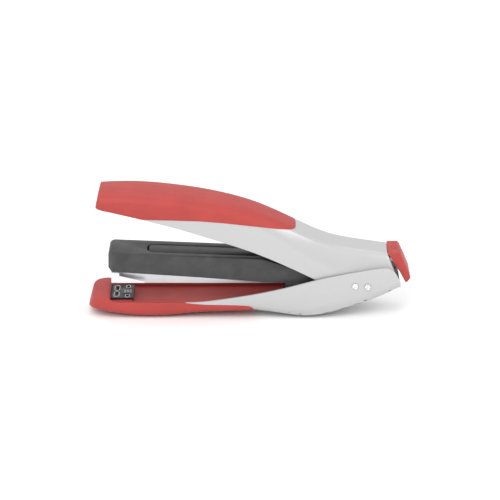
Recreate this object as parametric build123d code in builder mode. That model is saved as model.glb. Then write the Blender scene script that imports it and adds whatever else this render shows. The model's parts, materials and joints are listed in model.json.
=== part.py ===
from build123d import *
import os

# Full-strip plier stapler with an open handle, in millimetres.
# X runs from the staple exit (-X) to the release button (+X), Y across, Z up.
# The origin is on the table, under the middle of the overall length.

# Driving dimensions
FRONT_X = -96.5           # tip of the base's nose
REAR_X = 96.5             # back of the release button
BASE_HALF = 18.0          # half width of the red base
SHELL_HALF = 19.0         # half width of the lower shell at the pins
SHELL_INNER = 17.0        # half width inside the lower shell
HANDLE_WALL = 2.0
GRIP_WALL = 1.2
COVER_HALF = 13.0         # half width of the magazine
COVER_WALL = 1.2
TRAY_HALF = 7.5
SHEET = 0.8               # thin steel sheet
PLATE = 1.2               # steel frame plate

HANDLE_PIN = (63.2, 21.5)     # handle pivot, X and Z
MAGAZINE_PIN = (70.6, 21.1)   # magazine and driver pivot, X and Z
PIN_R = 1.6
FIT = 0.05                # radial clearance of a turning fit
PIN_SWEEP = 1.7           # travel of the magazine pin in the handle's wall
BUTTON_PIN = (88.0, 35.8)
BUTTON_HALF = 11.4
ROLLER = (57.0, 33.0)     # crossbar of the handle
BAR_HALF = 13.6

ANVIL_X = -76.2
ANVIL_TOP = 11.3
ANVIL_THICK = 1.3
ANVIL_SIZE = (13.5, 22.0)
GROOVE_X = 3.1            # groove columns, either side of the anvil's middle
POST_R = 2.5

RIM_Z = 10.5              # top of the base's side walls
FLOOR_Z = 8.2             # floor of the trough between them
FRAME_Z = 5.8             # underside of the base frame
SEAM_Z = 9.4              # where the lower shell's tips start
TIP_X = -38.0             # front of those tips
RED_END_X = 1.2           # back of the red base

TRAY_Z = 19.4
TRAY_TOP = 26.5
TRAY_FRONT = -77.4
TRAY_REAR = 58.0
ROD_Z = 23.4
ROD_R = 0.9
PUSHER_X = (-61.5, -53.0)


def prism(points, half, mode=Mode.ADD, middle=0.0):
    """A side outline in X and Z, extruded both ways across Y."""
    with BuildSketch(Plane.XZ.offset(-middle)) as outline:
        with BuildLine():
            Polyline(*points, close=True)
        make_face()
    extrude(outline.sketch, amount=half, both=True, mode=mode)


def pair(points, inner, outer, mode=Mode.ADD):
    """The same outline as two walls, from inner to outer half width."""
    for side in (-1, 1):
        prism(points, (outer - inner) / 2, mode, side * (outer + inner) / 2)


def plan(points, low, high, mode=Mode.INTERSECT):
    """A half plan in X and Y, mirrored about X and extruded in Z."""
    mirrored = [(x, -y) for x, y in reversed(points)]
    with BuildSketch(Plane.XY.offset(low)) as outline:
        with BuildLine():
            Polyline(*points, *mirrored, close=True)
        make_face()
    extrude(outline.sketch, amount=high - low, mode=mode)


def cross_rod(centre, radius, half, mode=Mode.ADD, middle=0.0):
    """A round bar or hole along Y."""
    with Locations(Location((centre[0], middle, centre[1]), (90, 0, 0))):
        Cylinder(radius, 2 * half, mode=mode)


def block(low, high, mode=Mode.ADD):
    """A box between two corners."""
    size = [b - a for a, b in zip(low, high)]
    with Locations(tuple((a + b) / 2 for a, b in zip(low, high))):
        Box(*size, mode=mode)


def section(station, inset=0.0):
    """One eight-sided section of the handle, at its X."""
    x, heights, halves = station
    bottom, belly, bevel, top = heights
    drop = inset * 0.8
    right = [
        (halves[0] - inset, bottom),
        (halves[1] - inset, belly),
        (halves[2] - inset, bevel - drop),
        (halves[3] - drop, top - inset),
    ]
    if inset:
        right[0] = (halves[0] - inset, bottom - 12.0)
    left = [(-y, z) for y, z in reversed(right)]
    with BuildSketch(Plane.YZ.offset(x)) as face:
        with BuildLine():
            Polyline(*right, *left, close=True)
        make_face()
    return face.sketch


def handle_body(stations, front=0.0, rear=0.0, mode=Mode.ADD):
    """The handle's outline, or its hollow, inset by one wall in front and one behind."""
    loft([section(s, front if s[0] < 20 else rear) for s in stations], ruled=True, mode=mode)


def release(builder, name):
    builder.part.label = name
    export_step(builder.part, f"parts/{name}.step")


os.makedirs("parts", exist_ok=True)

# Handle sections: X, then the heights of the lower edge, the widest line, the
# bevel and the top, then the half widths at the same four lines.
HANDLE = [
    (-94.0, (69.8, 72.6, 75.6, 76.9), (12.6, 14.6, 12.2, 8.0)),
    (-87.0, (67.6, 72.7, 76.2, 77.5), (14.6, 16.4, 13.5, 9.0)),
    (-66.0, (62.9, 72.6, 76.4, 77.8), (16.2, 17.8, 14.5, 9.0)),
    (-45.0, (57.5, 71.0, 74.4, 75.7), (16.4, 17.6, 14.0, 9.0)),
    (-24.0, (50.8, 67.6, 71.2, 72.6), (16.4, 17.2, 13.5, 9.2)),
    (0.0, (42.9, 61.0, 65.0, 66.4), (16.4, 16.6, 12.8, 9.6)),
    (20.0, (34.3, 50.0, 56.2, 57.9), (16.4, 16.0, 12.3, 10.0)),
    (39.0, (25.0, 30.0, 46.9, 48.6), (16.5, 16.4, 12.0, 10.0)),
    (53.0, (17.5, 27.0, 42.2, 43.8), (16.5, 16.4, 12.0, 10.0)),
    (74.0, (17.0, 27.0, 39.0, 40.5), (16.3, 16.2, 12.0, 10.0)),
    (88.0, (23.0, 27.0, 36.8, 38.2), (15.6, 15.6, 12.0, 10.0)),
]
HANDLE_END = [(82.2, 39.8), (83.4, 37.3), (85.8, 32.0), (88.5, 26.0), (95, 20), (95, 45), (82.2, 45)]
CAVITY = [(x, z, w) for x, z, w in HANDLE if x > -88] + [(95.0, HANDLE[-1][1], HANDLE[-1][2])]

GRIP_NOSE = (-88.6, HANDLE[1][1], (14.0, 15.8, 12.9, 8.7))
HANDLE_FRONT = [(-100, 60), (-92.6, 66), (-89.1, 80), (-100, 80)]

# The grip's lower edge on the side, front to back, closed above the handle
GRIP_EDGE = [
    (-100, 60), (-66, 62.6), (-45, 62.4), (-29, 61.9), (-14, 60.6), (5, 58.2),
    (18, 56.3), (26.8, 54.6), (34, 62), (-20, 84), (-100, 84),
]

# handle_grip: soft layer over the front and top of the handle
with BuildPart() as handle_grip:
    handle_body(HANDLE[:8])
    handle_body([GRIP_NOSE] + HANDLE[1:8], GRIP_WALL, GRIP_WALL, Mode.SUBTRACT)
    prism(GRIP_EDGE, 30, Mode.INTERSECT)
    prism(HANDLE_FRONT, 30, Mode.SUBTRACT)
release(handle_grip, "handle_grip")

# handle_shell: the rigid handle, under the grip in front and bare behind it
with BuildPart() as grip_room:
    prism(GRIP_EDGE, 30)
    handle_body([GRIP_NOSE] + HANDLE[1:8], GRIP_WALL, GRIP_WALL, Mode.SUBTRACT)
with BuildPart() as handle_shell:
    handle_body(HANDLE)
    add(grip_room.part, mode=Mode.SUBTRACT)
    handle_body(CAVITY, 2 * GRIP_WALL, HANDLE_WALL, Mode.SUBTRACT)
    prism(HANDLE_END, 30, Mode.SUBTRACT)
    cross_rod(HANDLE_PIN, PIN_R + FIT, 20, Mode.SUBTRACT)
    cross_rod(MAGAZINE_PIN, PIN_R + PIN_SWEEP + 0.3, 20, Mode.SUBTRACT)
    cross_rod(ROLLER, 1.0, BAR_HALF, Mode.SUBTRACT)
release(handle_shell, "handle_shell")

# handle_frame: steel rib under the handle's roof, with the button's lugs
ROOF = [(24, 48.0), (39, 42.2), (53, 37.8), (67, 35.6), (80, 34.0)]
with BuildPart() as handle_frame:
    prism(ROOF + [(x, z - PLATE) for x, z in reversed(ROOF)], 8.0)
    lug = [
        (74, 34.0), (81, 34.4), (84.5, 35.9), (BUTTON_PIN[0], 37.3), (89.6, 35.8),
        (BUTTON_PIN[0], 34.2), (74, 32.0),
    ]
    pair(lug, 6.8, 8.0)
    cross_rod(BUTTON_PIN, 1.0, 10, Mode.SUBTRACT)
release(handle_frame, "handle_frame")

# press_bar: crossbar of the handle that bears on the driver arm
with BuildPart() as press_bar:
    cross_rod(ROLLER, 1.0, BAR_HALF)
    cross_rod(ROLLER, 2.0, 10.5)
release(press_bar, "press_bar")

# release_button: hollow tab behind the handle
TAB = [(82.9, 39.3), (90.0, 39.6), (REAR_X, 24.6), (93.9, 21.2), (91.0, 26.3), (84.3, 37.3)]
TAB_HOLLOW = [(84.0, 38.4), (89.0, 38.0), (94.6, 24.9), (93.4, 23.0), (90.0, 26.0), (80.0, 37.0)]
with BuildPart() as release_button:
    prism(TAB, BUTTON_HALF)
    prism(TAB_HOLLOW, BUTTON_HALF - 2.0, Mode.SUBTRACT)
    cross_rod(BUTTON_PIN, 1.0 + FIT, BUTTON_HALF - 0.8, Mode.SUBTRACT)
release(release_button, "release_button")

with BuildPart() as button_pin:
    cross_rod(BUTTON_PIN, 1.0, BUTTON_HALF - 1.0)
release(button_pin, "button_pin")

# button_spring: torsion coil on the button's pin
with BuildPart() as button_spring:
    cross_rod(BUTTON_PIN, 1.7, 4.0)
    cross_rod(BUTTON_PIN, 1.15, 5.0, Mode.SUBTRACT)
release(button_spring, "button_spring")

# base_front_grip: red nose, trough and anvil seat
BASE_SIDE = [
    (FRONT_X, 5.0), (-95.6, 10.5), (-93.0, 13.0), (-85.0, 13.8), (-83.4, 13.4), (-83.0, RIM_Z),
    (RED_END_X, RIM_Z), (RED_END_X, 4.2), (-10, 3.6), (-26, 2.8), (-36, 2.0), (-46, 0.5),
    (-52, 0), (-66, 0), (-74, 1.0), (-84, 2.6), (-94, 4.4),
]
BASE_PLAN = [(FRONT_X, -9), (-95.0, -13), (-91, -16), (-84, -17.6), (-70, -18), (RED_END_X, -18)]
with BuildPart() as base_front_grip:
    prism(BASE_SIDE, BASE_HALF)
    plan(BASE_PLAN, -1, 20)
    trough = [(-83.0, -15.0), (-70, -15.5), (RED_END_X + 1, -15.5)]
    plan(trough, FLOOR_Z, 20, Mode.SUBTRACT)
    block((ANVIL_X - 6.6, -11, FLOOR_Z - 0.5), (ANVIL_X + 6.6, 11, ANVIL_TOP - ANVIL_THICK))
    block((-80, -14, FRAME_Z), (RED_END_X + 1, 14, FRAME_Z + PLATE), Mode.SUBTRACT)
    for side in (-1, 1):
        block((TIP_X, 17.5 * side - 0.5, SEAM_Z), (RED_END_X + 1, 17.5 * side + 0.5, 20), Mode.SUBTRACT)
    with Locations((ANVIL_X, 0, 0)):
        Cylinder(4.0, 2 * FRAME_Z, mode=Mode.SUBTRACT)
        Cylinder(POST_R + 0.1, 40, mode=Mode.SUBTRACT)
    corners = base_front_grip.faces().sort_by(Axis.Z)[0].edges().filter_by(Axis.X)
    chamfer(corners, length=1.5)
release(base_front_grip, "base_front_grip")

# base_shell: rigid rear of the base, with pointed tips beside the red part
SHELL_TOP = [
    (TIP_X, SEAM_Z + 0.3), (-29.4, 10.1), (-9.5, 13.6), (5.4, 16.4), (22.9, 20.4), (38.8, 24.9),
    (57, 28.8), (70.4, 31.2), (82.0, 32.6), (84.8, 32.0), (87.2, 28.9), (89.2, 25.5), (90.9, 21.3),
]
SHELL_BOTTOM = [
    (90.9, 19.3), (87.8, 17.3), (80.3, 13.6), (70.4, 9.3), (60.5, 6.0), (50.5, 2.8), (42, 0.4),
    (38, 0), (30, 0), (17.9, 2.3), (RED_END_X, 4.2),
]
SHELL_PLAN = [(TIP_X, -18), (15, -SHELL_HALF), (70, -SHELL_HALF), (85, -18.2), (92, -17)]
SHELL_HOLLOW = [
    (-40, 9), (RED_END_X, 9), (RED_END_X, 5.7), (18, 5.7), (30, 2.0), (38, 2.0), (42, 2.4),
    (50.5, 5.0), (60.5, 8.2), (70.4, 11.5), (80.3, 15.8), (87.2, 19.4), (88.6, 21.5), (95, 21.5),
    (95, 60), (-40, 60),
]
HOLLOW_PLAN = [(-40, -17), (80, -SHELL_INNER), (85, -16.4), (92, -15.2)]
with BuildPart() as hollow:
    prism(SHELL_HOLLOW, 30)
    plan(HOLLOW_PLAN, -1, 70)
with BuildPart() as base_shell:
    prism(SHELL_TOP + SHELL_BOTTOM + [(RED_END_X, SEAM_Z), (TIP_X, SEAM_Z)], 30)
    plan(SHELL_PLAN, -1, 70)
    add(hollow.part, mode=Mode.SUBTRACT)
    for centre in (HANDLE_PIN, MAGAZINE_PIN):
        cross_rod(centre, PIN_R, 30, Mode.SUBTRACT)
release(base_shell, "base_shell")

# base_frame: steel plate through the red base, with two ears at the pins
EAR = [(40, FRAME_Z), (51, FRAME_Z), (62, 9.6), (76, 15.0), (76, 26), (58, 26), (40, 9)]
with BuildPart() as base_frame:
    block((-80, -14, FRAME_Z), (51, 14, FRAME_Z + PLATE))
    pair(EAR, 12.7, 13.9)
    for centre in (HANDLE_PIN, MAGAZINE_PIN):
        cross_rod(centre, PIN_R, 30, Mode.SUBTRACT)
    with Locations((ANVIL_X, 0, FRAME_Z)):
        Cylinder(POST_R + 0.1, 10, mode=Mode.SUBTRACT)
release(base_frame, "base_frame")

# The two through pins, each with a low round head outside the lower shell
for name, centre in (("handle_pin", HANDLE_PIN), ("magazine_pin", MAGAZINE_PIN)):
    with BuildPart() as through_pin:
        cross_rod(centre, PIN_R, SHELL_HALF)
        for side in (-1, 1):
            cross_rod(centre, 1.85, 0.25, middle=side * (SHELL_HALF + 0.25))
    release(through_pin, name)

# return_spring: two coils on the magazine pin that lift the handle
with BuildPart() as return_spring:
    for side in (-1, 1):
        cross_rod(MAGAZINE_PIN, 3.0, 0.9, middle=side * 6.6)
    cross_rod(MAGAZINE_PIN, PIN_R + 0.2, 10, Mode.SUBTRACT)
release(return_spring, "return_spring")

# frame_rivets: fix the red base and the lower shell to the frame
with BuildPart() as frame_rivets:
    for x, z in ((11.4, FRAME_Z + PLATE), (44.0, FRAME_Z + PLATE)):
        with Locations([(x, y, z + 0.5) for y in (-9.5, 9.5)]):
            Cylinder(2.2, 1.0)
release(frame_rivets, "frame_rivets")

# anvil_plate: staple pockets for closed and for pinning staples
with BuildPart() as anvil_plate:
    half = [value / 2 for value in ANVIL_SIZE]
    block((ANVIL_X - half[0], -half[1], ANVIL_TOP - ANVIL_THICK), (ANVIL_X + half[0], half[1], ANVIL_TOP))
    for x, spread in ((-GROOVE_X, 4.3), (GROOVE_X, 7.6)):
        with BuildSketch(Plane.XY.offset(ANVIL_TOP)):
            with Locations([(ANVIL_X + x, y) for y in (-spread, spread)]):
                SlotOverall(4.6, 1.5, rotation=90)
        extrude(amount=-0.6, mode=Mode.SUBTRACT)
release(anvil_plate, "anvil_plate")

# anvil_post: pushed up from below to lift the anvil
with BuildPart() as anvil_post:
    with Locations((ANVIL_X, 0, (ANVIL_TOP - ANVIL_THICK + 2.2) / 2)):
        Cylinder(POST_R, ANVIL_TOP - ANVIL_THICK - 2.2)
    with Locations((ANVIL_X, 0, 2.7)):
        Cylinder(3.6, 1.0)
release(anvil_post, "anvil_post")

# magazine_cover: black cover, open below, with a long slot on top
COVER_SIDE = [
    (-84.0, 30.2), (-83.6, 39.0), (-82.6, 40.0), (8, 36.3), (22, 31.6), (34, 28.9), (34, 21.4),
    (25, 21.6), (9.6, 21.9), (-29.4, 25.0), (-77.0, 28.2), (-77.4, 29.4), (-82.0, 29.4),
]
COVER_PLAN = [(-84.2, -9.5), (-81.4, -COVER_HALF), (48, -COVER_HALF)]
COVER_FLOOR = (28.0, 28.8)
with BuildPart() as magazine_cover:
    prism(COVER_SIDE, COVER_HALF)
    plan(COVER_PLAN, 10, 50)
    inner = COVER_HALF - COVER_WALL
    block((-77.4, -inner, 10), (50, inner, COVER_FLOOR[0]), Mode.SUBTRACT)
    arm_room = [
        (-81.9, 20), (-81.9, 38.9), (-61, 38.0), (50, 33.2), (50, COVER_FLOOR[1]),
        (-78.0, COVER_FLOOR[1]), (-78.0, 20),
    ]
    prism(arm_room, 7.35, Mode.SUBTRACT)
    with BuildSketch(Plane.XY.offset(30)):
        with Locations((-61 + 60, 0)):
            SlotOverall(120, 14.7)
    extrude(amount=20, mode=Mode.SUBTRACT)
release(magazine_cover, "magazine_cover")

# magazine_frame: steel top plate and two arms to the magazine pin
ARM = [(20, 23), (48, 23), (60, 16.5), (76, 16.5), (76, 27), (20, 27.8)]
with BuildPart() as magazine_frame:
    pair(ARM, 10.3, 11.5)
    block((20, -11.5, 26.9), (45, 11.5, 27.8))
    cross_rod(MAGAZINE_PIN, PIN_R + FIT, 30, Mode.SUBTRACT)
    cross_rod(HANDLE_PIN, PIN_R + 0.7, 30, Mode.SUBTRACT)
release(magazine_frame, "magazine_frame")

# magazine_rail: steel guide that the staple tray runs in
with BuildPart() as magazine_rail:
    block((-76.0, -8.7, 22.0), (19.8, 8.7, 27.6))
    block((-80.0, -TRAY_HALF - 0.35, 10), (30, TRAY_HALF + 0.35, 26.8), Mode.SUBTRACT)
release(magazine_rail, "magazine_rail")

# driver_arm: pushes the blade, turns on the magazine pin
ARM_TOP = [
    (-80.6, 38.3), (-60, 37.2), (48, 32.0), (57, 29.9), (66, 28.2), (75, 25.0), (75, 17.6),
    (61, 17.6), (60, 27.4),
]
with BuildPart() as driver_arm:
    prism(ARM_TOP + [(48, 30.8), (-60, 35.6), (-79.0, 36.6), (-80.6, 36.6)], 5.5)
    cross_rod(MAGAZINE_PIN, PIN_R + FIT, 30, Mode.SUBTRACT)
    cross_rod(HANDLE_PIN, PIN_R + 1.3, 30, Mode.SUBTRACT)
release(driver_arm, "driver_arm")

# driver_blade: pushes one staple down through the paper, notched to clear the guide rod
with BuildPart() as driver_blade:
    block((-80.2, -6.2, 28.0), (-79.4, 6.2, 36.6))
    block((-81, -1.4, 27), (-79, 1.4, 33.2), Mode.SUBTRACT)
release(driver_blade, "driver_blade")

# staple_tray: channel that slides out in front
with BuildPart() as staple_tray:
    block((TRAY_FRONT, -TRAY_HALF, TRAY_Z), (TRAY_REAR, TRAY_HALF, TRAY_TOP))
    inside = TRAY_HALF - SHEET
    block((TRAY_FRONT + 1.2, -inside, TRAY_Z + SHEET), (TRAY_REAR - SHEET, inside, 30), Mode.SUBTRACT)
    with Locations(Location(((TRAY_FRONT + TRAY_REAR) / 2, 0, ROD_Z), (0, 90, 0))):
        Cylinder(ROD_R, 200, mode=Mode.SUBTRACT)
release(staple_tray, "staple_tray")

# front_bracket: nose of the tray with its two gussets
with BuildPart() as front_bracket:
    block((-82.2, -12.5, 21.2), (TRAY_FRONT, 12.5, 27.8))
    block((-81.3, -11.6, 10), (-78.4, 11.6, 30), Mode.SUBTRACT)
    block((-79, -TRAY_HALF, 10), (-77, TRAY_HALF, 30), Mode.SUBTRACT)
    pair([(-78, 25.6), (-77.2, 25.6), (-62.4, 22.2), (-62.4, 21.2), (-78, 21.2)], 11.6, 12.5)
    block((-78.4, -12.0, 21.2), (TRAY_FRONT, -TRAY_HALF, 27.8))
    block((-78.4, TRAY_HALF, 21.2), (TRAY_FRONT, 12.0, 27.8))
    block((TRAY_FRONT, -12.0, 21.2), (-76.6, -TRAY_HALF, 21.9))
    block((TRAY_FRONT, TRAY_HALF, 21.2), (-76.6, 12.0, 21.9))
release(front_bracket, "front_bracket")

# guide_rod: carries the pusher and its spring along the tray
with BuildPart() as guide_rod:
    with Locations(Location(((TRAY_FRONT + TRAY_REAR) / 2, 0, ROD_Z), (0, 90, 0))):
        Cylinder(ROD_R, TRAY_REAR - TRAY_FRONT)
release(guide_rod, "guide_rod")

# pusher: keeps the staples against the front of the tray
with BuildPart() as pusher:
    block((PUSHER_X[0], -6.2, TRAY_Z + SHEET + 0.3), (PUSHER_X[1], 6.2, 26.2))
    with Locations(Location((PUSHER_X[0], 0, ROD_Z), (0, 90, 0))):
        Cylinder(ROD_R + FIT, 40, mode=Mode.SUBTRACT)
release(pusher, "pusher")

# pusher_spring: long coil on the rod behind the pusher
with BuildPart() as pusher_spring:
    length = TRAY_REAR - SHEET - PUSHER_X[1]
    with Locations(Location((PUSHER_X[1] + length / 2, 0, ROD_Z), (0, 90, 0))):
        Cylinder(2.1, length)
        Cylinder(ROD_R + 0.3, length, mode=Mode.SUBTRACT)
release(pusher_spring, "pusher_spring")

# staple_strip: what is left of a strip, in front of the pusher
with BuildPart() as staple_strip:
    front = TRAY_FRONT + 1.2
    block((front, -6.4, TRAY_Z + SHEET), (PUSHER_X[0], 6.4, 26.2))
    block((front - 1, -5.9, 10), (PUSHER_X[0] + 1, 5.9, 25.7), Mode.SUBTRACT)
release(staple_strip, "staple_strip")
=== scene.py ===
import json
import math

import bmesh
import bpy
from bpy.props import FloatProperty, FloatVectorProperty, PointerProperty
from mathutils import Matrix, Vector


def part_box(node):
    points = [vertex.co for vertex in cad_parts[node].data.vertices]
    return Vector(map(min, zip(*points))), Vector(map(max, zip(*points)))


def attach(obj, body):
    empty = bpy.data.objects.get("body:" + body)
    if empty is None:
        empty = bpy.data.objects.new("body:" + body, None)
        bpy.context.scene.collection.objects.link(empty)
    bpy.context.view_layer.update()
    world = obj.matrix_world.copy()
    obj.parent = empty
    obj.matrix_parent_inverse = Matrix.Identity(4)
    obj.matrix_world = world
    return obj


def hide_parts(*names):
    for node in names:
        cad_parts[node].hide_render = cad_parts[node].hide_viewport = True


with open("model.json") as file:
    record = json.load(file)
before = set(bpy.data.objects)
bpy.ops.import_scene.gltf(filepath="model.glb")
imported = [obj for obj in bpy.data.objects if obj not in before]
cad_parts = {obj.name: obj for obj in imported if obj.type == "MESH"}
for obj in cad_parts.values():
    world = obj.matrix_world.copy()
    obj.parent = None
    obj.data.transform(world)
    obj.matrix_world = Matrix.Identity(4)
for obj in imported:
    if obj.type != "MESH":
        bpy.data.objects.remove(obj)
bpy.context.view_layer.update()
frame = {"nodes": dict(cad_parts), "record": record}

bl_info = {
    "name": "Plier stapler",
    "version": (1, 0, 0),
    "blender": (4, 5, 0),
    "location": "View3D > Sidebar > Stapler",
    "description": "Models the covers, grips and magazine of a full-strip plier stapler",
    "category": "Add Mesh",
}

MM = 0.001

# Handle stations: X, the heights of the lower edge, widest line, bevel and top,
# then the half widths at the same four lines, all in millimetres.
HANDLE = [
    (-94.0, (69.9, 72.7, 75.6, 77.0), (13.0, 14.8, 12.4, 8.2)),
    (-87.0, (67.6, 72.8, 76.4, 77.6), (14.8, 16.4, 13.9, 9.0)),
    (-66.0, (62.9, 72.6, 76.6, 77.9), (16.3, 17.9, 14.8, 9.0)),
    (-45.0, (57.5, 71.0, 74.8, 75.9), (16.5, 17.7, 14.4, 9.0)),
    (-24.0, (50.8, 67.8, 71.6, 72.8), (16.5, 17.3, 13.9, 9.2)),
    (0.0, (42.9, 60.6, 65.6, 66.8), (16.5, 16.7, 13.2, 9.6)),
    (20.0, (34.3, 50.5, 56.8, 58.2), (16.5, 16.2, 12.6, 10.0)),
    (39.0, (25.0, 36.0, 47.3, 48.9), (16.5, 16.4, 12.3, 10.0)),
    (53.0, (18.0, 30.0, 42.4, 44.0), (16.5, 16.4, 12.2, 10.0)),
    (74.0, (17.2, 27.0, 39.1, 40.6), (16.3, 16.2, 12.1, 10.0)),
    (88.0, (22.4, 27.0, 37.0, 38.4), (15.6, 15.6, 12.0, 10.0)),
]
HANDLE_END = ((26.0, 88.2), (39.8, 82.2))
GRIP_EDGE = [
    (-100, 50), (-96, 60.5), (-80, 62.4), (-66, 62.7), (-45, 62.4), (-29, 61.9), (-14, 60.6), (5, 58.2),
    (16, 56.4), (24, 55.1), (27.6, 54.7), (29.0, 55.3), (29.6, 57.0), (29.2, 60), (27, 90), (-100, 90),
]
SHELL_TOP = [
    (-38.0, 10.8), (-29.4, 10.9), (-9.5, 13.8), (5.4, 16.5), (22.9, 20.5), (38.8, 24.9),
    (57, 28.8), (70.4, 31.2), (82.0, 32.7), (85.4, 31.8), (87.6, 28.8), (89.4, 25.4), (90.9, 21.2),
]
SHELL_BOTTOM = [
    (-38.0, 2.0), (1.2, 4.2), (17.9, 2.2), (30, 0.1), (38, 0.1), (44, 0.9), (50.5, 2.8), (60.5, 6.0),
    (70.4, 9.3), (80.3, 13.6), (87.8, 17.3), (90.9, 19.3),
]


def between(points, x):
    """Height of a line through points at x, smoothed through its corners."""
    if x <= points[0][0]:
        return points[0][1]
    for i in range(len(points) - 1):
        (x0, y0), (x1, y1) = points[i], points[i + 1]
        if x <= x1:
            before = points[i - 1] if i else points[i]
            after = points[i + 2] if i + 2 < len(points) else points[i + 1]
            m0 = (y1 - before[1]) / (x1 - before[0])
            m1 = (after[1] - y0) / (after[0] - x0)
            h = x1 - x0
            t = (x - x0) / h
            return (
                (2 * t**3 - 3 * t**2 + 1) * y0 + (t**3 - 2 * t**2 + t) * h * m0
                + (3 * t**2 - 2 * t**3) * y1 + (t**3 - t**2) * h * m1
            )
    return points[-1][1]


def deselect():
    if bpy.context.object and bpy.context.object.mode != "OBJECT":
        bpy.ops.object.mode_set(mode="OBJECT")
    bpy.ops.object.select_all(action="DESELECT")


def only(obj):
    deselect()
    obj.select_set(True)
    bpy.context.view_layer.objects.active = obj


def apply_modifiers(obj):
    only(obj)
    for modifier in list(obj.modifiers):
        bpy.ops.object.modifier_apply(modifier=modifier.name)


def settle(obj):
    """Puts the object's place into its mesh."""
    only(obj)
    bpy.ops.object.transform_apply(location=True, rotation=True, scale=True)


def face_out(obj):
    only(obj)
    bpy.ops.object.mode_set(mode="EDIT")
    bpy.ops.mesh.select_all(action="SELECT")
    bpy.ops.mesh.remove_doubles(threshold=1e-6)
    bpy.ops.mesh.normals_make_consistent(inside=False)
    bpy.ops.object.mode_set(mode="OBJECT")


def fit_ring(obj, ring):
    """Moves the selected face's corners onto the ring, given in millimetres."""
    bm = bmesh.from_edit_mesh(obj.data)
    face = next(f for f in bm.faces if f.select)
    for loop, point in zip(face.loops, ring):
        loop.vert.co = Vector(point) * MM
    bmesh.update_edit_mesh(obj.data)


def ring_body(name, rings, creases=(), levels=2, caps=0.0):
    """A filled circle extruded from ring to ring. creases maps a place in the ring to its sharpness."""
    deselect()
    bpy.ops.mesh.primitive_circle_add(vertices=len(rings[0]), radius=0.01, fill_type="NGON")
    obj = bpy.context.object
    obj.name = name
    bpy.ops.object.mode_set(mode="EDIT")
    bpy.ops.mesh.select_mode(type="FACE")
    bpy.ops.mesh.select_all(action="SELECT")
    fit_ring(obj, rings[0])
    for ring in rings[1:]:
        bpy.ops.mesh.extrude_region_move(TRANSFORM_OT_translate={"value": (0, 0, 0.001)})
        fit_ring(obj, ring)
    bpy.ops.object.mode_set(mode="OBJECT")
    if levels:
        strip_caps(obj, rings)
    crease_lines(obj, rings, dict(creases), caps)
    face_out(obj)
    if levels:
        smooth = obj.modifiers.new("smooth", "SUBSURF")
        smooth.levels = smooth.render_levels = levels
        apply_modifiers(obj)
    return obj


def strip_caps(obj, rings):
    """Closes both ends with quads from the outside of the ring to its inside."""
    bm = bmesh.new()
    bm.from_mesh(obj.data)
    count = len(rings[0])
    for face in [f for f in bm.faces if len(f.verts) == count]:
        bm.faces.remove(face)
    bm.verts.ensure_lookup_table()
    for ring in (rings[0], rings[-1]):
        corners = [min(bm.verts, key=lambda v: (v.co - Vector(point) * MM).length) for point in ring]
        for i in range(count // 2 - 1):
            bm.faces.new([corners[k] for k in (i, i + 1, count - 2 - i, count - 1 - i)])
    bm.to_mesh(obj.data)
    bm.free()


def crease_lines(obj, rings, creases, caps):
    """Sharpens the edges that run from ring to ring, and the two end rings."""
    bm = bmesh.new()
    bm.from_mesh(obj.data)
    layer = bm.edges.layers.float.get("crease_edge") or bm.edges.layers.float.new("crease_edge")
    place = {}
    for r, ring in enumerate(rings):
        for i, point in enumerate(ring):
            place[tuple(round(v * MM, 6) for v in point)] = (r, i)
    for edge in bm.edges:
        ends = [place.get(tuple(round(v, 6) for v in vert.co)) for vert in edge.verts]
        if None in ends:
            continue
        (r0, i0), (r1, i1) = ends
        if i0 == i1 and i0 in creases:
            edge[layer] = creases[i0]
        if r0 == r1 and r0 in (0, len(rings) - 1):
            edge[layer] = max(edge[layer], caps)
    bm.to_mesh(obj.data)
    bm.free()


def prism(name, outline, low, high):
    """A side outline in X and Z between two values of Y, all in millimetres."""
    rings = [[(x, y, z) for x, z in outline] for y in (low, high)]
    return ring_body(name, rings, levels=0)


def combine(obj, tool, operation):
    """A boolean with a tool that is then removed."""
    cut = obj.modifiers.new("cut", "BOOLEAN")
    cut.operation = operation
    cut.solver = "EXACT"
    cut.use_self = True
    cut.object = tool
    apply_modifiers(obj)
    bpy.data.objects.remove(tool, do_unlink=True)


def round_edges(obj, width, segments=3, angle=35, smooth=40):
    bevel = obj.modifiers.new("round", "BEVEL")
    bevel.width = width * MM
    bevel.segments = segments
    bevel.limit_method = "ANGLE"
    bevel.angle_limit = math.radians(angle)
    bevel.use_clamp_overlap = True
    apply_modifiers(obj)
    only(obj)
    bpy.ops.object.shade_smooth_by_angle(angle=math.radians(smooth))


def box(name, low, high):
    """A box between two corners in millimetres."""
    deselect()
    middle = [(a + b) / 2 * MM for a, b in zip(low, high)]
    bpy.ops.mesh.primitive_cube_add(size=1, location=middle)
    obj = bpy.context.object
    obj.name = name
    obj.scale = [(b - a) * MM for a, b in zip(low, high)]
    settle(obj)
    return obj


def finish(obj, body, slot, material, *nodes):
    """Gives a piece its finish, its body and the CAD nodes it stands for."""
    obj.data.materials.clear()
    obj.data.materials.append(material)
    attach(obj, body)
    if nodes:
        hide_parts(*nodes)


# Materials

def surface(name, colour, roughness, metallic=0.0):
    """A new material with its shader and node tree."""
    material = bpy.data.materials.new(name)
    material.use_nodes = True
    tree = material.node_tree
    shader = tree.nodes["Principled BSDF"]
    shader.inputs["Base Color"].default_value = (*colour, 1.0)
    shader.inputs["Roughness"].default_value = roughness
    shader.inputs["Metallic"].default_value = metallic
    return material, tree, shader


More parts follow.
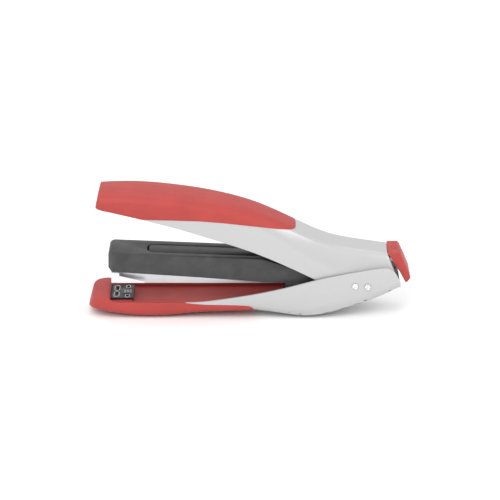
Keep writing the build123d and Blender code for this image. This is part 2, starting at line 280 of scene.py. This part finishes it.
def noise(tree, scale, detail=3.0, stretch=(1, 1, 1)):
    """Noise on object coordinates, drawn out along one axis if asked."""
    place = tree.nodes.new("ShaderNodeTexCoord")
    mapping = tree.nodes.new("ShaderNodeMapping")
    mapping.inputs["Scale"].default_value = stretch
    texture = tree.nodes.new("ShaderNodeTexNoise")
    texture.inputs["Scale"].default_value = scale
    texture.inputs["Detail"].default_value = detail
    tree.links.new(place.outputs["Object"], mapping.inputs["Vector"])
    tree.links.new(mapping.outputs["Vector"], texture.inputs["Vector"])
    return texture.outputs["Fac"]


def tint(tree, shader, factor, dark, light):
    """Colour that wanders between two shades."""
    ramp = tree.nodes.new("ShaderNodeValToRGB")
    ramp.color_ramp.elements[0].position = 0.3
    ramp.color_ramp.elements[0].color = (*dark, 1)
    ramp.color_ramp.elements[1].position = 0.7
    ramp.color_ramp.elements[1].color = (*light, 1)
    tree.links.new(factor, ramp.inputs["Fac"])
    tree.links.new(ramp.outputs["Color"], shader.inputs["Base Color"])


def vary_roughness(tree, shader, factor, low, high):
    span = tree.nodes.new("ShaderNodeMapRange")
    span.inputs["To Min"].default_value = low
    span.inputs["To Max"].default_value = high
    tree.links.new(factor, span.inputs["Value"])
    tree.links.new(span.outputs["Result"], shader.inputs["Roughness"])


def grain(tree, shader, factor, strength, depth):
    bump = tree.nodes.new("ShaderNodeBump")
    bump.inputs["Strength"].default_value = strength
    bump.inputs["Distance"].default_value = depth
    tree.links.new(factor, bump.inputs["Height"])
    tree.links.new(bump.outputs["Normal"], shader.inputs["Normal"])


def scaled(colour, factor):
    return tuple(c * factor for c in colour)


def soft_grip(name, colour):
    """Rubbery overmould with a fine moulded grain."""
    material, tree, shader = surface(name, colour, 0.5)
    tint(tree, shader, noise(tree, 60), scaled(colour, 0.93), scaled(colour, 1.05))
    vary_roughness(tree, shader, noise(tree, 140), 0.42, 0.56)
    grain(tree, shader, noise(tree, 3200, 2.0), 0.25, 0.00006)
    shader.inputs["Specular IOR Level"].default_value = 0.22
    return material


def satin_paint(name, colour):
    """Silver paint with fine metal flake under a satin clear coat."""
    material, tree, shader = surface(name, colour, 0.34, 0.25)
    tint(tree, shader, noise(tree, 5200, 1.0), scaled(colour, 0.95), scaled(colour, 1.04))
    vary_roughness(tree, shader, noise(tree, 90), 0.30, 0.38)
    grain(tree, shader, noise(tree, 2600, 1.0), 0.06, 0.00003)
    shader.inputs["Coat Weight"].default_value = 0.25
    shader.inputs["Coat Roughness"].default_value = 0.18
    return material


def black_moulding(name, colour, roughness=0.36):
    """Black moulded plastic with a faint spark-eroded texture."""
    material, tree, shader = surface(name, colour, roughness)
    tint(tree, shader, noise(tree, 120), scaled(colour, 0.85), scaled(colour, 1.2))
    vary_roughness(tree, shader, noise(tree, 220), roughness - 0.05, roughness + 0.08)
    grain(tree, shader, noise(tree, 4200, 2.0), 0.15, 0.00004)
    shader.inputs["Specular IOR Level"].default_value = 0.22
    return material


def rolled_steel(name, colour, roughness, along=(1, 30, 30), metal=0.92):
    """Sheet steel with fine rolling lines along X."""
    material, tree, shader = surface(name, colour, roughness, metal)
    lines = noise(tree, 160, 4.0, along)
    tint(tree, shader, noise(tree, 75), scaled(colour, 0.92), scaled(colour, 1.04))
    vary_roughness(tree, shader, lines, roughness - 0.07, roughness + 0.1)
    grain(tree, shader, lines, 0.08, 0.00003)
    return material


MATERIALS = {}


def make_materials(look):
    """One material for each slot of the record."""
    red = tuple(look.grip_colour)
    silver = tuple(look.shell_colour)
    MATERIALS.update({
        "red_grip": soft_grip("red_grip", red),
        "red_button": soft_grip("red_button", scaled(red, 1.05)),
        "silver_shell": satin_paint("silver_shell", silver),
        "black_plastic": black_moulding("black_plastic", tuple(look.magazine_colour)),
        "black_steel": black_moulding("black_steel", (0.016, 0.016, 0.018), 0.3),
        "zinc_steel": rolled_steel("zinc_steel", (0.62, 0.63, 0.65), 0.34),
        "tray_steel": rolled_steel("tray_steel", (0.74, 0.74, 0.75), 0.36, metal=0.45),
        "pin_steel": rolled_steel("pin_steel", (0.78, 0.78, 0.79), 0.22, (1, 1, 1)),
        "spring_steel": rolled_steel("spring_steel", (0.42, 0.42, 0.44), 0.3, (1, 1, 1)),
        "staple_wire": rolled_steel("staple_wire", (0.75, 0.75, 0.77), 0.28, (1, 30, 30)),
    })


def dress_frame_nodes():
    """Every CAD node gets its slot's material."""
    slots = {part["node"]: part["material_slot"] for part in frame["record"]["subparts"]}
    for name, obj in frame["nodes"].items():
        for place in obj.material_slots:
            place.material = MATERIALS[slots[name]]


# Handle

def handle_line(x):
    """The handle's four heights and four half widths at x."""
    heights = [between([(s[0], s[1][i]) for s in HANDLE], x) for i in range(4)]
    halves = [between([(s[0], s[2][i]) for s in HANDLE], x) for i in range(4)]
    return heights, halves


def handle_section(x, outer, inner, squeeze=1.0, end=False):
    """A U-shaped ring: outside from the right edge over the top, then back inside."""
    heights, halves = handle_line(x)
    rings = []
    for grow in (outer, -inner):
        (bottom, belly, bevel, top), (w0, w1, w2, w3) = heights, halves
        side = [
            (w0 + grow, bottom), (w0 * 0.55 + w1 * 0.45 + grow, bottom * 0.55 + belly * 0.45),
            (w1 + grow, belly), (w1 * 0.45 + w2 * 0.55 + grow, belly * 0.35 + bevel * 0.65),
            (w2 + grow * 0.7, bevel + grow * 0.7), (w3 + grow * 0.3, top + grow), (0, top + grow + 0.35),
        ]
        if grow < 0:
            side = [(max(y, 0.3 - i * 0.04), max(z, bottom + 0.2 * i)) for i, (y, z) in enumerate(side[:-1])] + [
                (0, max(side[-1][1], bottom + 1.3))]
        rings.append(side + [(-y, z) for y, z in reversed(side[:-1])])
    middle = (heights[0] + heights[3]) / 2
    ring = rings[0] + rings[1][::-1]
    points = []
    for y, z in ring:
        y, z = y * squeeze, middle + (z - middle) * squeeze
        at = x
        if end:
            (z0, x0), (z1, x1) = HANDLE_END
            at = min(x0, x0 + (z - z0) * (x1 - x0) / (z1 - z0))
        points.append((at, y, z))
    return points


SHELL_STATIONS = (-84, -76, -66, -55, -45, -34, -24, -12, 0, 10, 20, 29, 39, 46, 53, 63, 74, 81)
RING_EDGES = {0: 0.9, 12: 0.9, 13: 0.9, 25: 0.9}


def model_handle_shell():
    rings = [handle_section(x, 0.0, 2.0) for x in SHELL_STATIONS]
    rings.append(handle_section(82.3, 0.0, 2.0, end=True))
    creases = dict(RING_EDGES)
    creases.update({4: 0.45, 8: 0.45, 5: 0.35, 7: 0.35})
    return ring_body("handle_cover", rings, creases, levels=2, caps=0.8)


NOSE_WALL = 12.4


def model_grip():
    rings = [handle_section(x, 0.3, NOSE_WALL) for x in (-90.6, -90.3, -89.6, -88.6)]
    rings += [handle_section(x, 0.3, 1.1) for x in (-88.2, -84) + SHELL_STATIONS[1:13]]
    for place, squeeze in enumerate((0.9, 0.96, 0.99)):
        slope = 0.25 - 0.05 * place
        rings[place] = [(x + slope * (z - 70), y * squeeze, 73 + (z - 73) * squeeze) for x, y, z in rings[place]]
    grip = ring_body("handle_grip_skin", rings, RING_EDGES, levels=2)
    combine(grip, prism("grip_area", GRIP_EDGE, -30, 30), "INTERSECT")
    round_edges(grip, 0.25, 2, 50, 45)
    return grip


# Base

def tub_section(x, half, bottom, rim, floor, wall, foot=0.72):
    """A U-shaped ring: outside from one rim round the bottom, then back over the floor."""
    inner = half - wall
    low = bottom + min(2.6, (rim - bottom) * 0.3)
    lean = 0.1 + 1.4 * max(0.0, 1 - (rim - floor) / 2.4)
    outside = [(half - 0.25, rim), (half, rim * 0.5 + low * 0.5), (half - 0.5, low), (half * foot, bottom), (0, bottom)]
    inside = [
        (inner, rim), (inner - lean, (floor + rim) / 2), (inner - 2 * lean, floor + min(0.3, (rim - floor) / 4)),
        (inner * 0.7, floor), (0, floor),
    ]
    outer = outside + [(-y, z) for y, z in reversed(outside[:-1])]
    back = inside + [(-y, z) for y, z in reversed(inside[:-1])]
    return [(x, y, z) for y, z in outer + back[::-1]]


RIM_EDGES = {0: 0.75, 8: 0.75, 9: 0.75, 17: 0.75, 11: 0.6, 15: 0.6}

RED_STATIONS = [
    (-96.4, 8.4, 4.7, 13.0, 13.1), (-96.0, 10.6, 4.4, 13.2, 13.3), (-94.4, 13.8, 4.0, 13.5, 13.6), (-91.2, 16.2, 3.5, 13.7, 13.8),
    (-86.5, 17.4, 2.9, 13.8, 13.9), (-83.8, 17.6, 2.5, 13.6, 13.7), (-83.2, 17.7, 2.4, 12.9, 12.6), (-82.8, 17.7, 2.3, 10.8, 8.3),
    (-76.0, 17.9, 1.3, 10.6, 8.2),
    (-66.0, 18.0, 0.1, 10.6, 8.2), (-54.0, 18.0, 0.1, 10.6, 8.2), (-46.0, 18.0, 0.5, 10.6, 8.2), (-36.0, 18.0, 2.0, 10.6, 8.2),
    (-26.0, 18.1, 2.8, 10.6, 8.2), (-10.0, 18.4, 3.6, 10.6, 8.2), (2.0, 18.6, 4.2, 10.8, 8.2), (12.0, 18.8, 4.2, 11.4, 8.4),
    (22.0, 18.8, 4.2, 12.4, 8.8),
]
TIP_EDGE = [(-38.6, 11.4), (-37.6, 10.5), (-33, 10.0), (-26, 9.5), (-8, 9.3), (0, 8.8), (2.2, 7.4), (2.8, 5), (2.6, -2)]


def model_red_base():
    rings = [tub_section(*station, wall=2.5) for station in RED_STATIONS]
    for place, slope in enumerate((0.27, 0.26, 0.2, 0.08)):
        rings[place] = [(x + slope * (z - 4.7), y, z) for x, y, z in rings[place]]
    base = ring_body("base_grip_body", rings, RIM_EDGES, levels=2, caps=0.4)
    for side in (-1, 1):
        outline = TIP_EDGE + [(30, -2), (30, 30), (-38.6, 30)]
        combine(base, prism("tip_room", outline, *sorted((16.9 * side, 30 * side))), "DIFFERENCE")
    combine(base, prism("end_room", [(2.7, -2), (30, -2), (30, 6.1), (2.7, 6.1)], -30, 30), "DIFFERENCE")
    round_edges(base, 0.25, 2, 55, 45)
    return base


def model_anvil_seat():
    low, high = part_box("anvil_plate")
    seat = box("anvil_seat", (low[0] / MM + 0.4, -11, 7.8), (high[0] / MM - 0.4, 11, low[2] / MM))
    round_edges(seat, 0.5)
    return seat


def model_base_shell():
    stations = (-40, -30, -20, -9, 2, 12, 22, 31, 40, 50, 60, 70, 78, 83, 86, 88.6, 90.4)
    rings = []
    for x in stations:
        top = between(SHELL_TOP, x)
        bottom = between(SHELL_BOTTOM, x)
        half = between([(-40, 18.0), (15, 18.9), (70, 18.9), (85, 18.1), (92, 16.9)], x)
        floor = min(bottom + 2.0, top - 0.4)
        rings.append(tub_section(x, half, bottom, top, floor, between([(-40, 1.1), (20, 1.5), (92, 1.5)], x)))
    shell = ring_body("base_cover", rings, RIM_EDGES, levels=2, caps=0.6)
    front = [(-50, -5)] + [(-50, 40), (-38.6, 40)] + TIP_EDGE[:-1] + [(2.6, -5)]
    combine(shell, prism("red_room", front, -30, 30), "DIFFERENCE")
    combine(shell, prism("liner_room", [(-50, -5), (2.6, -5), (2.6, 6.0), (22.1, 6.0), (22.1, 60), (-50, 60)], -17.0, 17.0), "DIFFERENCE")
    for node in ("handle_pin", "magazine_pin"):
        low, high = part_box(node)
        for side in (-1, 1):
            deselect()
            place = ((low[0] + high[0]) / 2, side * 0.0195, (low[2] + high[2]) / 2)
            bpy.ops.mesh.primitive_cylinder_add(
                vertices=40, radius=0.0022, depth=0.002, location=place, rotation=(math.pi / 2, 0, 0))
            seat = bpy.context.object
            settle(seat)
            combine(shell, seat, "DIFFERENCE")
    round_edges(shell, 0.25, 2, 55, 45)
    return shell


# Magazine

def model_cover():
    side = [
        (-84.0, 30.4), (-83.8, 39.2), (-82.9, 40.0), (8, 36.3), (22, 31.9), (34, 29.0), (42, 28.5), (42, 21.2), (25, 21.6),
        (9.6, 21.9), (-29.4, 25.0), (-77.0, 28.2), (-82.2, 28.5),
    ]
    cover = prism("magazine_top", side, -13, 13)
    plan = [(-90, -9.3), (-84.2, -9.3), (-81.2, -13), (-81.2, -14), (-90, -14)]
    for flip in (-1, 1):
        rings = [[(x, y * flip, z) for x, y in plan] for z in (10, 50)]
        combine(cover, ring_body("corner", rings, levels=0), "DIFFERENCE")
    combine(cover, box("under", (-77.4, -11.8, 10), (60, 11.8, 28.0)), "DIFFERENCE")
    combine(cover, prism("blade_room", [(-81.9, 20), (-81.9, 38.6), (-61, 37.6), (-61, 28.8), (-78, 28.8), (-78, 20)], -7, 7), "DIFFERENCE")
    deselect()
    bpy.ops.mesh.primitive_cube_add(size=1, location=(0, 0, 0.040))
    slot = bpy.context.object
    slot.scale = (0.122, 0.0147, 0.0222)
    settle(slot)
    bpy.ops.object.mode_set(mode="EDIT")
    bpy.ops.mesh.select_mode(type="EDGE")
    bm = bmesh.from_edit_mesh(slot.data)
    for edge in bm.edges:
        a, b = (v.co for v in edge.verts)
        edge.select = abs(a.z - b.z) > 0.01 and a.x < 0
    bm.select_flush_mode()
    bmesh.update_edit_mesh(slot.data)
    bpy.ops.mesh.bevel(offset=0.0046, segments=8, affect="EDGES")
    bpy.ops.object.mode_set(mode="OBJECT")
    combine(cover, slot, "DIFFERENCE")
    round_edges(cover, 0.45, 3, 30, 40)
    return cover


def model_arm_top():
    """Long cap of the driver arm that fills the cover's slot."""
    top = [(-60.0, 38.9), (8, 36.1), (24, 34.0), (24, 32.8), (-60.0, 37.0)]
    cap = prism("arm_top", top, -7.1, 7.1)
    round_edges(cap, 0.4, 3, 30)
    return cap


def pocket_highlight_rim(x, y, across, along, wire=0.22):
    """Bright steel rim round one pocket, a painted highlight on the pocket's edge: a torus drawn out along Y."""
    low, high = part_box("anvil_plate")
    deselect()
    bpy.ops.mesh.primitive_torus_add(
        location=(0, 0, 0), major_radius=across / 2 * MM, minor_radius=wire * MM, major_segments=32, minor_segments=8)
    rim = bpy.context.object
    for vert in rim.data.vertices:
        if abs(vert.co.y) > 1e-6:
            vert.co.y += math.copysign((along - across) / 2 * MM, vert.co.y)
        vert.co = (vert.co.x + x * MM, vert.co.y + y * MM, vert.co.z * 0.6 + high[2])
    bpy.ops.object.shade_smooth()
    return rim


def model_pocket_highlight_rims():
    low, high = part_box("anvil_plate")
    x = (low[0] + high[0]) / 2 / MM
    # Bright steel rims round the anvil pockets: painted highlights on the pocket edges.
    rims = [pocket_highlight_rim(x - 3.5, y, 3.0, 8.4) for y in (-5.2, 5.2)]
    rims += [pocket_highlight_rim(x + 3.1, y, 2.4, 4.4) for y in (-7.8, 7.8)]
    rims += [pocket_highlight_rim(x + 3.1 + step, 0, 0.7, 4.6, 0.14) for step in (-1.6, 0, 1.6)]
    deselect()
    for rim in rims:
        rim.select_set(True)
    bpy.context.view_layer.objects.active = rims[0]
    bpy.ops.object.join()
    rims[0].name = "pocket_highlight_rims"
    return rims[0]


# Release button

TAB = [(82.9, 39.0), (84.0, 39.5), (89.2, 39.6), (90.4, 38.6), (93.8, 31.2), (96.4, 24.8), (96.2, 23.6), (94.4, 21.4), (93.4, 21.6), (91.0, 26.3), (84.3, 37.3)]


def model_button():
    button = prism("button_cap", TAB, -11.4, 11.4)
    deselect()
    bpy.ops.mesh.primitive_uv_sphere_add(segments=64, ring_count=48, radius=0.022, location=(0.0866, 0, 0.0606))
    ball = bpy.context.object
    ball.scale = (0.3, 0.9, 1.0)
    settle(ball)
    combine(button, ball, "DIFFERENCE")
    round_edges(button, 0.5, 3, 28, 50)
    return button


def model_pin_head(name, node):
    """Both heads of one through pin: a low dome with a drilled centre."""
    low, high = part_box(node)
    x, z = (low[0] + high[0]) / 2, (low[2] + high[2]) / 2
    deselect()
    bpy.ops.mesh.primitive_cylinder_add(
        vertices=48, radius=0.00185, depth=high[1] - low[1], location=(x, 0, z), rotation=(math.pi / 2, 0, 0))
    pin = bpy.context.object
    pin.name = name
    settle(pin)
    only(pin)
    bpy.ops.object.mode_set(mode="EDIT")
    bpy.ops.mesh.select_mode(type="FACE")
    bpy.ops.mesh.select_all(action="DESELECT")
    bm = bmesh.from_edit_mesh(pin.data)
    for face in bm.faces:
        face.select = abs(face.normal.y) > 0.9
    bmesh.update_edit_mesh(pin.data)
    bpy.ops.mesh.bevel(offset=0.00035, segments=3)
    bm = bmesh.from_edit_mesh(pin.data)
    for face in bm.faces:
        face.select = abs(face.normal.y) > 0.99 and face.calc_area() > 1e-7
    bmesh.update_edit_mesh(pin.data)
    bpy.ops.mesh.inset(thickness=0.0011)
    bm = bmesh.from_edit_mesh(pin.data)
    for face in bm.faces:
        if face.select:
            for vert in face.verts:
                vert.co.y -= math.copysign(0.0006, vert.co.y)
    bmesh.update_edit_mesh(pin.data)
    bpy.ops.object.mode_set(mode="OBJECT")
    bpy.ops.object.shade_smooth_by_angle(angle=math.radians(35))
    return pin


def refined(node, name, width, segments=2):
    """A copy of a sheet metal node with its edges broken, as pressed steel has."""
    source = frame["nodes"][node]
    obj = source.copy()
    obj.data = source.data.copy()
    obj.name = name
    obj.parent = None
    bpy.context.collection.objects.link(obj)
    only(obj)
    bpy.ops.object.mode_set(mode="EDIT")
    bpy.ops.mesh.select_all(action="SELECT")
    bpy.ops.mesh.remove_doubles(threshold=1e-6)
    bpy.ops.mesh.dissolve_limited(angle_limit=math.radians(1))
    bpy.ops.object.mode_set(mode="OBJECT")
    round_edges(obj, width, segments, 40, 35)
    return obj


# Add-on

class StaplerLook(bpy.types.PropertyGroup):
    grip_colour: FloatVectorProperty(
        name="Grip colour", description="Colour of the soft grips", subtype="COLOR", default=(0.395, 0.054, 0.048))
    shell_colour: FloatVectorProperty(
        name="Shell colour", description="Colour of the painted shells", subtype="COLOR", default=(0.465, 0.465, 0.47))
    magazine_colour: FloatVectorProperty(
        name="Magazine colour", description="Colour of the magazine cover", subtype="COLOR", default=(0.052, 0.052, 0.0535))
    camera_height: FloatProperty(
        name="Camera elevation", description="Angle of view above the table", subtype="ANGLE", default=math.radians(20))
    camera_distance: FloatProperty(
        name="Camera distance", description="From the camera to the stapler", unit="LENGTH", default=1.4)


class STAPLER_OT_materials(bpy.types.Operator):
    """Make the finishes and put them on the frame's own parts"""
    bl_idname = "stapler.materials"
    bl_label = "Materials"

    def execute(self, context):
        make_materials(context.scene.stapler_look)
        dress_frame_nodes()
        return {"FINISHED"}


class STAPLER_OT_handle(bpy.types.Operator):
    """Model the handle's shell and its soft grip"""
    bl_idname = "stapler.handle"
    bl_label = "Handle"

    def execute(self, context):
        finish(model_handle_shell(), "handle", "silver_shell", MATERIALS["silver_shell"], "handle_shell")
        finish(model_grip(), "handle", "red_grip", MATERIALS["red_grip"], "handle_grip")
        return {"FINISHED"}


class STAPLER_OT_base(bpy.types.Operator):
    """Model the red front and the silver rear of the base"""
    bl_idname = "stapler.base"
    bl_label = "Base"

    def execute(self, context):
        finish(model_red_base(), "base", "red_grip", MATERIALS["red_grip"], "base_front_grip")
        finish(model_anvil_seat(), "base", "red_grip", MATERIALS["red_grip"])
        finish(model_base_shell(), "base", "silver_shell", MATERIALS["silver_shell"], "base_shell")
        return {"FINISHED"}


class STAPLER_OT_magazine(bpy.types.Operator):
    """Model the magazine's cover"""
    bl_idname = "stapler.magazine"
    bl_label = "Magazine"

    def execute(self, context):
        finish(model_cover(), "magazine", "black_plastic", MATERIALS["black_plastic"], "magazine_cover")
        return {"FINISHED"}


class STAPLER_OT_metalwork(bpy.types.Operator):
    """Model the tray, anvil and arms with broken edges"""
    bl_idname = "stapler.metalwork"
    bl_label = "Metalwork"

    def execute(self, context):
        parts = (
            ("staple_tray", "tray_channel", "tray", "tray_steel", 0.15),
            ("front_bracket", "tray_front", "tray", "tray_steel", 0.18),
            ("anvil_plate", "anvil_top", "anvil", "black_steel", 0.2),
            ("driver_arm", "arm", "driver", "black_steel", 0.3),
        )
        for node, name, body, slot, width in parts:
            finish(refined(node, name, width), body, slot, MATERIALS[slot], node)
        finish(model_arm_top(), "driver", "black_steel", MATERIALS["black_steel"])
        # Bright steel rims on the anvil pockets: painted highlights on the pocket edges.
        finish(model_pocket_highlight_rims(), "anvil", "pin_steel", MATERIALS["pin_steel"])
        return {"FINISHED"}


class STAPLER_OT_button(bpy.types.Operator):
    """Model the release button"""
    bl_idname = "stapler.button"
    bl_label = "Release button"

    def execute(self, context):
        finish(model_button(), "button", "red_button", MATERIALS["red_button"], "release_button")
        return {"FINISHED"}


class STAPLER_OT_pins(bpy.types.Operator):
    """Model the two through pins"""
    bl_idname = "stapler.pins"
    bl_label = "Pins"

    def execute(self, context):
        for node in ("handle_pin", "magazine_pin"):
            finish(model_pin_head(node + "_turned", node), "base", "pin_steel", MATERIALS["pin_steel"], node)
        return {"FINISHED"}


class STAPLER_OT_stage(bpy.types.Operator):
    """Lay the floor, hang the lights and aim the camera"""
    bl_idname = "stapler.stage"
    bl_label = "Stage"

    def execute(self, context):
        look = context.scene.stapler_look
        deselect()
        bpy.ops.mesh.primitive_plane_add(size=8, location=(0, 0, 0))
        floor = context.object
        floor.name = "floor"
        material, tree, shader = surface("floor_paper", (0.93, 0.93, 0.93), 0.9)
        tint(tree, shader, noise(tree, 3), (0.92, 0.92, 0.92), (0.94, 0.94, 0.94))
        floor.data.materials.append(material)
        lamps = (
            ((-0.4, -0.9, 0.9), 0.9, 9.0), ((0.9, -0.6, 0.8), 0.6, 4.0), ((0.0, 0.5, 1.3), 0.9, 3.0),
        )
        for place, size, power in lamps:
            bpy.ops.object.light_add(type="AREA", location=place)
            lamp = context.object
            lamp.data.size = size
            lamp.data.energy = power
            lamp.rotation_euler = (Vector((0, 0, 0.03)) - Vector(place)).to_track_quat("-Z", "Y").to_euler()
        world = bpy.data.worlds.new("studio")
        context.scene.world = world
        world.use_nodes = True
        world.node_tree.nodes["Background"].inputs["Color"].default_value = (1, 1, 1, 1)
        world.node_tree.nodes["Background"].inputs["Strength"].default_value = 0.86
        aim = Vector((0.0006, 0, 0.0377))
        away = Vector((0, -math.cos(look.camera_height), math.sin(look.camera_height)))
        bpy.ops.object.camera_add(location=aim + away * look.camera_distance)
        camera = context.object
        camera.rotation_euler = (-away).to_track_quat("-Z", "Y").to_euler()
        camera.data.lens = camera.data.sensor_width * look.camera_distance / 0.3
        context.scene.camera = camera
        context.scene.view_settings.view_transform = "Standard"
        return {"FINISHED"}


OPERATORS = (
    STAPLER_OT_materials, STAPLER_OT_handle, STAPLER_OT_base, STAPLER_OT_magazine,
    STAPLER_OT_metalwork, STAPLER_OT_button, STAPLER_OT_pins, STAPLER_OT_stage,
)


class STAPLER_PT_panel(bpy.types.Panel):
    bl_label = "Stapler"
    bl_idname = "STAPLER_PT_panel"
    bl_space_type = "VIEW_3D"
    bl_region_type = "UI"
    bl_category = "Stapler"

    def draw(self, context):
        look = context.scene.stapler_look
        for name in ("grip_colour", "shell_colour", "magazine_colour", "camera_height", "camera_distance"):
            self.layout.prop(look, name)
        for operator in OPERATORS:
            self.layout.operator(operator.bl_idname)


CLASSES = (StaplerLook, *OPERATORS, STAPLER_PT_panel)


def register():
    for cls in CLASSES:
        bpy.utils.register_class(cls)
    bpy.types.Scene.stapler_look = PointerProperty(type=StaplerLook)


def unregister():
    del bpy.types.Scene.stapler_look
    for cls in reversed(CLASSES):
        bpy.utils.unregister_class(cls)


def main():
    register()
    bpy.ops.stapler.materials()
    bpy.ops.stapler.handle()
    bpy.ops.stapler.base()
    bpy.ops.stapler.magazine()
    bpy.ops.stapler.metalwork()
    bpy.ops.stapler.button()
    bpy.ops.stapler.pins()
    bpy.ops.stapler.stage()


if __name__ == "__main__":
    main()
